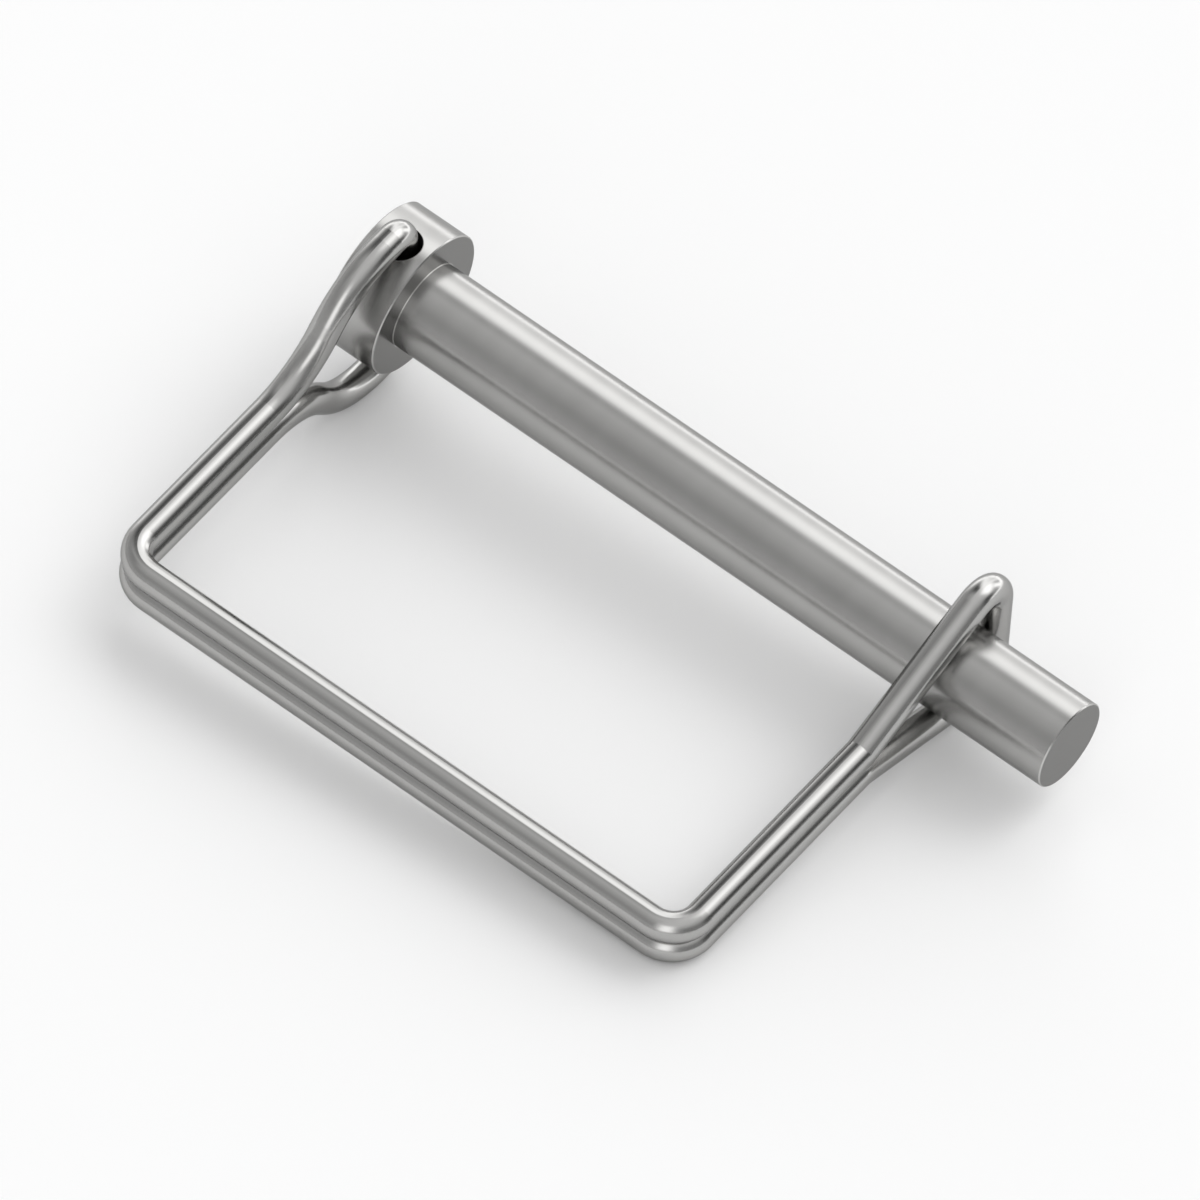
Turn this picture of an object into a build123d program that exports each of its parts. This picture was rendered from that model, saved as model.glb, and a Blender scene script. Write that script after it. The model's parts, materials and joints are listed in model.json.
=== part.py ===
import os
from math import cos, radians, tan

from build123d import *

# A wire-lock retainer pin: a headed pin, and a square retainer bent from one spring wire. The wire's
# two ends sit in a hole through the pin's head, where the retainer swings, and its far end is a loop
# that snaps over the shank. Lengths are millimetres and angles degrees. Both pieces are drawn with
# the pin along X, the retainer's legs along Y and the hole along Z, and are then laid on the floor.

# Pin, turned from bar
SHANK_DIAMETER = 9.525
GRIP_LENGTH = 63.5
TIP_BEYOND_LOOP = 12.7
HEAD_DIAMETER = 15.875
HEAD_LENGTH = 6.35
TURNED_EDGE_BREAK = 0.12
HOLE_CLEARANCE = 1.025

# Retainer, bent from spring wire; a bend's size is the radius of its inner side
WIRE_DIAMETER = 3.175
STRAND_SEAM = 0.02
LEG_REACH = 42.7
CORNER_BEND = 1.8

# Retainer's head end
WIRE_ENDS_APART = 2.0
HEAD_STANDOFF = 0.54
HOLE_BEND = 0.2
SHOULDER_START = 3.2
SHOULDER_BEND = 9.1
NECK_SLOPE = 48.9
NECK_BEND = 9.6

# Retainer's loop end
LOOP_SLOPE = 20.0
LOOP_CLEARANCE = 0.1
CROTCH_BEND = 0.15
LOOP_TIP_BEND = 1.5

# Rounds of fitting that bring the floor to rest against the retainer
FLOOR_ROUNDS = 12

# Radii that follow from the sizes
SHANK_RADIUS = SHANK_DIAMETER / 2
HEAD_RADIUS = HEAD_DIAMETER / 2
WIRE_RADIUS = WIRE_DIAMETER / 2
CROSS_HOLE_RADIUS = (WIRE_DIAMETER + HOLE_CLEARANCE) / 2
CORNER_LINE = CORNER_BEND + WIRE_RADIUS
SHOULDER_LINE = SHOULDER_BEND + WIRE_RADIUS
LOOP_TIP_LINE = LOOP_TIP_BEND + WIRE_RADIUS

# Places that follow from the sizes, on the wire's centre line
SHANK_LENGTH = GRIP_LENGTH + WIRE_DIAMETER + TIP_BEYOND_LOOP
HOLE_X = -HEAD_LENGTH / 2
LOOP_X = GRIP_LENGTH + WIRE_RADIUS
BAR_Y = -LEG_REACH
STRAND_Z = WIRE_RADIUS + STRAND_SEAM / 2
HUMP_Z = HEAD_RADIUS + HEAD_STANDOFF + WIRE_RADIUS
SHOULDER_Y = -SHOULDER_START - SHOULDER_LINE * tan(radians(NECK_SLOPE) / 2)
NECK_Y = SHOULDER_Y - (HUMP_Z - STRAND_Z) / tan(radians(NECK_SLOPE))
LOOP_OFFSET = SHANK_RADIUS + LOOP_CLEARANCE + WIRE_RADIUS
CROTCH_Y = -(LOOP_OFFSET / cos(radians(LOOP_SLOPE)) - STRAND_Z) / tan(radians(LOOP_SLOPE))
LOOP_TIP_Z = STRAND_Z + (LOOP_OFFSET - CROTCH_Y) * tan(radians(LOOP_SLOPE))


def make_pin():
    """Head and shank turned in one, with a small break on each free edge, then cross-drilled."""
    cut = TURNED_EDGE_BREAK
    profile = Polyline(
        (-HEAD_LENGTH, 0),
        (-HEAD_LENGTH, HEAD_RADIUS - cut),
        (-HEAD_LENGTH + cut, HEAD_RADIUS),
        (-cut, HEAD_RADIUS),
        (0, HEAD_RADIUS - cut),
        (0, SHANK_RADIUS),
        (SHANK_LENGTH - cut, SHANK_RADIUS),
        (SHANK_LENGTH, SHANK_RADIUS - cut),
        (SHANK_LENGTH, 0),
        close=True,
    )
    turned = revolve(make_face(profile), axis=Axis.X)
    drill = Cylinder(CROSS_HOLE_RADIUS, 2 * HEAD_DIAMETER)
    return turned - Pos(HOLE_X, 0, 0) * drill


def strand_corners(side):
    """Corners of one strand from its end in the hole to the loop's tip, on side +1 or -1 of the frame."""
    return [
        (HOLE_X, 0, side * WIRE_ENDS_APART / 2),
        (HOLE_X, 0, side * HUMP_Z),
        (HOLE_X, SHOULDER_Y, side * HUMP_Z),
        (HOLE_X, NECK_Y, side * STRAND_Z),
        (HOLE_X, BAR_Y, side * STRAND_Z),
        (LOOP_X, BAR_Y, side * STRAND_Z),
        (LOOP_X, CROTCH_Y, side * STRAND_Z),
        (LOOP_X, LOOP_OFFSET, side * LOOP_TIP_Z),
    ]


def make_retainer():
    """One wire swept from end to end: the upper strand, the closing piece behind the shank, the lower."""
    bends = [HOLE_BEND, SHOULDER_BEND, NECK_BEND, CORNER_BEND, CORNER_BEND, CROTCH_BEND, LOOP_TIP_BEND]
    lines = [bend + WIRE_RADIUS for bend in bends]
    corners = strand_corners(+1) + strand_corners(-1)[::-1]
    path = FilletPolyline(corners, radius=lines + lines[::-1])
    start = Plane(origin=path @ 0, z_dir=path % 0)
    return sweep(start * Circle(WIRE_RADIUS), path=path)


def lowest_on_bend(centre, axis, radius, up):
    """Lowest point of a bend's centre line, for a floor whose normal is up."""
    down = axis * up.dot(axis) - up
    return centre + down.normalized() * radius


def lying_plane():
    """Floor that touches the lower strand's hump under the head, its loop and its corner at the loop."""
    tip_setback = LOOP_TIP_LINE * tan(radians(90 + LOOP_SLOPE) / 2)
    hump_centre = Vector(HOLE_X, -SHOULDER_START, SHOULDER_LINE - HUMP_Z)
    loop_centre = Vector(LOOP_X, LOOP_OFFSET - LOOP_TIP_LINE, tip_setback - LOOP_TIP_Z)
    corner_centre = Vector(LOOP_X - CORNER_LINE, BAR_Y + CORNER_LINE, -STRAND_Z)
    along_pin = Vector(1, 0, 0)
    along_hole = Vector(0, 0, 1)
    up = (corner_centre - hump_centre).cross(loop_centre - hump_centre).normalized()
    for _ in range(FLOOR_ROUNDS):
        hump = lowest_on_bend(hump_centre, along_pin, SHOULDER_LINE, up)
        loop = lowest_on_bend(loop_centre, along_pin, LOOP_TIP_LINE, up)
        corner = lowest_on_bend(corner_centre, along_hole, CORNER_LINE, up)
        up = (corner - hump).cross(loop - hump).normalized()
    return Plane(origin=hump - up * WIRE_RADIUS, x_dir=along_pin, z_dir=up)


def lay_down(pieces):
    """Stands the pieces on the floor, with the middle of their box over the origin."""
    to_floor = lying_plane().location.inverse()
    laid = [to_floor * piece for piece in pieces]
    box = Compound(laid).bounding_box()
    return [Pos(-box.center().X, -box.center().Y, -box.min.Z) * piece for piece in laid]


os.makedirs("parts", exist_ok=True)
headed_pin, retainer_wire = lay_down([make_pin(), make_retainer()])
export_step(headed_pin, "parts/headed_pin.step")
export_step(retainer_wire, "parts/retainer_wire.step")
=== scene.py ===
import json
from math import cos, radians, sin

import bpy
from mathutils import Matrix, Vector

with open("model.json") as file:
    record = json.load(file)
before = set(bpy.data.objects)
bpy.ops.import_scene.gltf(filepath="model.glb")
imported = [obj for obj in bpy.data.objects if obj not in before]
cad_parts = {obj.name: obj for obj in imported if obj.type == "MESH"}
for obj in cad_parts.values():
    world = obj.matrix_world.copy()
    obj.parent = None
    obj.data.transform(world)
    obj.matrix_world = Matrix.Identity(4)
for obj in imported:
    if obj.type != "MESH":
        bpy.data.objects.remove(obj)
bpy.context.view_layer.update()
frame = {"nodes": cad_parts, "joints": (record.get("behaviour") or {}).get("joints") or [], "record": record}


# Headed pin
# The real pin is carbon steel bar, turned in one setting: shank and head share their axis, and a
# hole is drilled across the head. Turning and polishing leave soft bands round it and bright edges.
# The edges' lighter colour is partly that wear and partly a painted highlight, a thin painted
# highlight runs round the shank's root, and the flat faces carry painted shade.
class Socket:
    """A shader socket that adds Math nodes when it is used in an expression."""

    def __init__(self, shader, socket):
        self.shader = shader
        self.socket = socket

    def math(self, operation, *others):
        """A Math node on this socket and then the others."""
        inputs = dict(enumerate((self, *others)))
        node = self.shader.add("ShaderNodeMath", {"operation": operation}, inputs)
        return Socket(self.shader, node.outputs[0])

    def __add__(self, other):
        return self.math("ADD", other)

    def __sub__(self, other):
        return self.math("SUBTRACT", other)

    def __rsub__(self, other):
        return self.math("MULTIPLY_ADD", -1.0, other)

    def __mul__(self, other):
        return self.math("MULTIPLY", other)

    def __truediv__(self, other):
        return self.math("DIVIDE", other)

    def __abs__(self):
        return self.math("ABSOLUTE")

    __radd__ = __add__
    __rmul__ = __mul__

    def smooth(self, low, high):
        """0 at low and beyond it, 1 at high and beyond it, and a smooth step between them."""
        node = self.shader.add(
            "ShaderNodeMapRange",
            {"interpolation_type": "SMOOTHSTEP"},
            {"Value": self, "From Min": low, "From Max": high},
        )
        return Socket(self.shader, node.outputs["Result"])


class Shader:
    """A material's or the world's nodes."""

    def __init__(self, owner):
        owner.use_nodes = True
        self.tree = owner.node_tree
        self.tree.nodes.clear()

    def add(self, kind, settings=None, inputs=None):
        """Adds a node, sets its settings, then its sockets' values or links."""
        node = self.tree.nodes.new(kind)
        for name, value in (settings or {}).items():
            setattr(node, name, value)
        for name, value in (inputs or {}).items():
            if isinstance(value, Socket):
                self.tree.links.new(value.socket, node.inputs[name])
            else:
                node.inputs[name].default_value = value
        return node

    def out(self, kind, output, settings=None, inputs=None):
        """Adds a node and returns one of its outputs as a socket."""
        return Socket(self, self.add(kind, settings, inputs).outputs[output])

    def dot(self, vector, direction):
        """How far a vector socket reaches along a fixed direction."""
        return self.out(
            "ShaderNodeVectorMath", "Value", {"operation": "DOT_PRODUCT"}, {0: vector, 1: direction}
        )

    def from_point(self, point, directions):
        """The shaded spot's offset from a point, in metres, along each of the directions."""
        spot = self.out("ShaderNodeTexCoord", "Object")
        offset = self.out(
            "ShaderNodeVectorMath", "Vector", {"operation": "SUBTRACT"}, {0: spot, 1: point}
        )
        return [self.dot(offset, direction) for direction in directions]

    def grain(self, x, y, z):
        """Smooth noise between 0 and 1 that takes about one unit of x, y or z from light to dark."""
        spot = self.out("ShaderNodeCombineXYZ", "Vector", None, {"X": x, "Y": y, "Z": z})
        inputs = {"Vector": spot, "Scale": 1.0, "Detail": 0.0}
        return self.out("ShaderNodeTexNoise", "Fac", None, inputs)

    def mix(self, factor, first, second):
        """The first colour at factor 0 and the second at 1."""
        return self.out("ShaderNodeMix", 2, {"data_type": "RGBA"}, {0: factor, 6: first, 7: second})

    def steel(self, colour, roughness, height, depth):
        """Bare steel whose surface has the given height, 0 to 1, times depth in metres."""
        relief = self.out("ShaderNodeBump", "Normal", None, {"Height": height, "Distance": depth})
        surface = self.out(
            "ShaderNodeBsdfPrincipled",
            "BSDF",
            None,
            {
                "Base Color": colour,
                "Metallic": 1.0,
                "Roughness": roughness,
                "Specular Tint": GRAZING_TINT,
                "Normal": relief,
            },
        )
        self.add("ShaderNodeOutputMaterial", None, {"Surface": surface})


STEEL_LIGHT = (0.455, 0.452, 0.443, 1)
STEEL_DARK = (0.402, 0.399, 0.391, 1)
# Darker colour for the flat faces: painted shade.
SHADED_FACE_STEEL = (0.275, 0.273, 0.268, 1)
DRILLED_STEEL = (0.10, 0.098, 0.095, 1)
# Lighter colour for the broken edges, partly edge wear and partly painted highlight, and for the painted
# highlight round the shank's root.
EDGE_WEAR_AND_HIGHLIGHT = (0.74, 0.735, 0.72, 1)
GRAZING_TINT = (0.55, 0.55, 0.55, 1)

swing = frame["joints"][0]
shank = next(mount for mount in frame["record"]["mounts"] if mount["name"] == "shank")
hole_middle = Vector(swing["pos_m"])
hole_line = Vector(swing["axis"])
pin_line = Vector(shank["axis"])
cross_line = hole_line.cross(pin_line)

BAND_WIDTH = 0.0016
BAND_DEPTH = 0.000003
CLOUD_SIZE = 0.006
HOLE_RADIUS = 0.0021
HOLE_LIP = 0.00012
SHANK_RADIUS = 0.0047625
NEAR_SHANK = 1.1 * SHANK_RADIUS
HOLE_TO_ROOT = 0.003175
ROOT_HIGHLIGHT_HALF = 0.00005
HOLE_TO_LOOP = 0.0682625
LOOP_RUB_HALF = 0.0013
SATIN_ROUGHNESS = 0.22

pin_steel = bpy.data.materials.new("turned_steel")
shader = Shader(pin_steel)
along, cross, rise = shader.from_point(hole_middle, (pin_line, cross_line, hole_line))
out_from_pin = (cross * cross + rise * rise).math("SQRT")
out_from_hole = (along * along + cross * cross).math("SQRT")
# The slope is 0 on the round faces, 0.7 on the broken edges and 1 on the flat faces.
slope = abs(shader.dot(shader.out("ShaderNodeTexCoord", "Normal"), pin_line))
faced = slope.smooth(0.9, 0.95)
broken_edge = slope.smooth(0.5, 0.6) - slope.smooth(0.8, 0.88)
# The tool's path runs along the round faces and then in or out over the flat ones.
tool_path = along + out_from_pin
bands = shader.grain(tool_path / BAND_WIDTH, cross / CLOUD_SIZE, rise / CLOUD_SIZE)
clouds = shader.grain(along / CLOUD_SIZE, cross / CLOUD_SIZE, rise / CLOUD_SIZE)
bore = 1 - out_from_hole.smooth(HOLE_RADIUS, HOLE_RADIUS + HOLE_LIP)
rub = 1 - abs(along - HOLE_TO_LOOP).smooth(LOOP_RUB_HALF / 2, LOOP_RUB_HALF)
rub = rub * abs(rise).smooth(SHANK_RADIUS * 0.8, SHANK_RADIUS * 0.97)
# A painted highlight: a thin bright line in the colour round the shank's root.
root_highlight = 1 - abs(tool_path - HOLE_TO_ROOT - SHANK_RADIUS).smooth(ROOT_HIGHLIGHT_HALF, 2 * ROOT_HIGHLIGHT_HALF)
root_highlight = root_highlight * (1 - out_from_pin.smooth(NEAR_SHANK, NEAR_SHANK + SHANK_RADIUS / 10))
tone = shader.mix(0.5 * bands + 0.5 * clouds, STEEL_DARK, STEEL_LIGHT)
# The flat faces get a darker colour here: painted shade.
tone = shader.mix(0.9 * faced, tone, SHADED_FACE_STEEL)
# The broken edges are lighter, partly from edge wear and partly as a painted highlight, and the root line is
# a painted highlight.
tone = shader.mix(0.4 * broken_edge + 0.8 * root_highlight, tone, EDGE_WEAR_AND_HIGHLIGHT)
shader.steel(
    colour=shader.mix(bore, tone, DRILLED_STEEL),
    roughness=SATIN_ROUGHNESS + 0.03 * bands + 0.02 * clouds - 0.04 * faced - 0.05 * rub + 0.25 * bore,
    height=bands,
    depth=BAND_DEPTH,
)
headed_pin = frame["nodes"]["headed_pin"]
headed_pin.material_slots[0].material = pin_steel


# Retainer
# The real retainer is one length of drawn spring wire, polished, and bent in a fixture. Its two ends
# are sprung into the head's hole and nothing else holds it. Drawing leaves fine lines along the wire.
LINE_WIDTH = 0.0003
LINE_LENGTH = 0.012
LINE_DEPTH = 0.0000003
BAR_REACH = 0.0427
BEND_HALF = 0.0015
POLISHED_ROUGHNESS = 0.15

wire_steel = bpy.data.materials.new("drawn_spring_wire")
shader = Shader(wire_steel)
along, cross, rise = shader.from_point(hole_middle, (pin_line, cross_line, hole_line))
# The legs run across the pin and the bar runs along it, and the corners blend the two.
leg_lines = shader.grain(along / LINE_WIDTH, cross / LINE_LENGTH, rise / LINE_WIDTH)
bar_lines = shader.grain(along / LINE_LENGTH, cross / LINE_WIDTH, rise / LINE_WIDTH)
past_bar = cross + BAR_REACH
in_bar = (along - past_bar).smooth(-BEND_HALF, BEND_HALF)
in_bar = in_bar * (HOLE_TO_LOOP - along - past_bar).smooth(-BEND_HALF, BEND_HALF)
lines = leg_lines * (1 - in_bar) + bar_lines * in_bar
clouds = shader.grain(along / CLOUD_SIZE, cross / CLOUD_SIZE, rise / CLOUD_SIZE)
shader.steel(
    colour=shader.mix(0.4 * lines + 0.6 * clouds, STEEL_DARK, STEEL_LIGHT),
    roughness=POLISHED_ROUGHNESS + 0.05 * lines + 0.04 * clouds,
    height=lines,
    depth=LINE_DEPTH,
)
retainer_wire = frame["nodes"]["retainer_wire"]
retainer_wire.material_slots[0].material = wire_steel


# Floor
# A pale sheet that the closed pin lies on, much larger than the view.
FLOOR_COLOUR = (0.95, 0.95, 0.95, 1)
FLOOR_ROUGHNESS = 0.9
FLOOR_HALF = 6.0

bpy.ops.mesh.primitive_plane_add(size=2 * FLOOR_HALF)
floor = bpy.context.object
floor.name = "floor"
paper = bpy.data.materials.new("floor_paper")
shader = Shader(paper)
finish = {"Base Color": FLOOR_COLOUR, "Roughness": FLOOR_ROUGHNESS}
surface = shader.out("ShaderNodeBsdfPrincipled", "BSDF", None, finish)
shader.add("ShaderNodeOutputMaterial", None, {"Surface": surface})
floor.data.materials.append(paper)


# Studio light
# A tent of soft light, grey at the sides and brighter overhead. Softboxes stand behind the pin and
# beside the camera, and dark flags at the two sides draw the dark lines on the polished wire.
world = bpy.data.worlds.new("studio")
bpy.context.scene.world = world
shader = Shader(world)
sight = shader.add("ShaderNodeSeparateXYZ", None, {0: shader.out("ShaderNodeTexCoord", "Generated")})
x, y, z = (Socket(shader, output) for output in sight.outputs)
bearing = x.math("ARCTAN2", y)
elevation = z.math("ARCSINE")


def panel(side, height, half_width, half_height, edge):
    """1 inside a soft-edged panel of the tent and 0 outside it. Its place and size are in degrees:
    side 0 is straight behind the pin and 90 at its tip's end, and height 0 is level with it."""
    past_side = abs(bearing - radians(side))
    past_height = abs(elevation - radians(height))
    across = past_side.smooth(radians(half_width + edge), radians(half_width - edge))
    upward = past_height.smooth(radians(half_height + edge), radians(half_height - edge))
    return across * upward


def flag(light, depth, *place):
    """The light with a panel of it dimmed, by a depth of 0 to 1."""
    return light * (1 - depth * panel(*place))


def softbox(light, strength, *place):
    """The light with a panel of the given strength set into it."""
    return light + (strength - light) * panel(*place)


WALL, OVERHEAD = 0.6, 0.97
WALL_TOP, ROOF_EDGE = 28, 67
light = WALL + (OVERHEAD - WALL) * elevation.smooth(radians(WALL_TOP), radians(ROOF_EDGE))
light = flag(light, 0.96, -56, 52, 20, 15, 16)
light = flag(light, 0.29, -123, 51, 68, 25, 16)
light = flag(light, 0.35, -110, 50, 9, 9, 9)
light = flag(light, 0.86, 64, 18, 14, 15, 9)
light = flag(light, 0.41, 101, 9, 27, 22, 9)
light = softbox(light, 2.0, 155, 30, 14, 22, 10)
light = softbox(light, 2.6, 25, 51, 30, 19, 14)
light = softbox(light, 2.0, -22, 34, 21, 29, 8)
light = flag(light, 0.5, -18, 16, 5, 19, 11)
light = softbox(light, 3.1, -50, 4, 14, 11, 15)
light = softbox(light, 3.3, -8, 1, 23, 7, 5)
light = softbox(light, 2.5, 20, 14, 8, 17, 6)
light = softbox(light, 2.4, 43, 0, 18, 6, 3)
glow = {"Color": (1, 1, 1, 1), "Strength": light}
background = shader.out("ShaderNodeBackground", "Background", None, glow)
shader.add("ShaderNodeOutputWorld", None, {"Surface": background})


# Camera
# The photo is a parallel view, so the camera stands far off behind a long lens. The photo's size and
# places are in its own pixels. The swing's pivot in the head ties them to the pin, and their scale
# holds at the pin's middle depth, which is a little nearer to the camera than the pivot.
def towards(azimuth, elevation):
    """Unit vector to a place round the pin; azimuth 0 is in front of it and 90 at its tip's end."""
    a, e = radians(azimuth), radians(elevation)
    return Vector((sin(a) * cos(e), -cos(a) * cos(e), sin(e)))


PHOTO_WIDTH = 1200
PIXELS_PER_METRE = 10391.5
PIVOT_IN_PHOTO = (397.2, 286.6)
MIDDLE_AHEAD = 0.018
VIEW_AZIMUTH, VIEW_ELEVATION, VIEW_ROLL = 31.505, 47.694, 8.259
LENS_MM, SENSOR_MM = 1400.0, 36.0

back = towards(VIEW_AZIMUTH, VIEW_ELEVATION)
turn = (-back).to_track_quat("-Z", "Y").to_matrix() @ Matrix.Rotation(radians(VIEW_ROLL), 3, "Z")
right, up = turn.col[0], turn.col[1]
to_middle = [(PHOTO_WIDTH / 2 - pixel) / PIXELS_PER_METRE for pixel in PIVOT_IN_PHOTO]
view_middle = hole_middle + right * to_middle[0] - up * to_middle[1]
distance = PHOTO_WIDTH / PIXELS_PER_METRE * LENS_MM / SENSOR_MM
camera = bpy.data.objects.new("camera", bpy.data.cameras.new("camera"))
bpy.context.collection.objects.link(camera)
camera.data.lens = LENS_MM
camera.data.sensor_width = SENSOR_MM
camera.data.clip_end = 2 * distance
camera.matrix_world = Matrix.Translation(view_middle + back * (MIDDLE_AHEAD + distance)) @ turn.to_4x4()
bpy.context.scene.camera = camera
bpy.context.scene.view_settings.view_transform = "Standard"
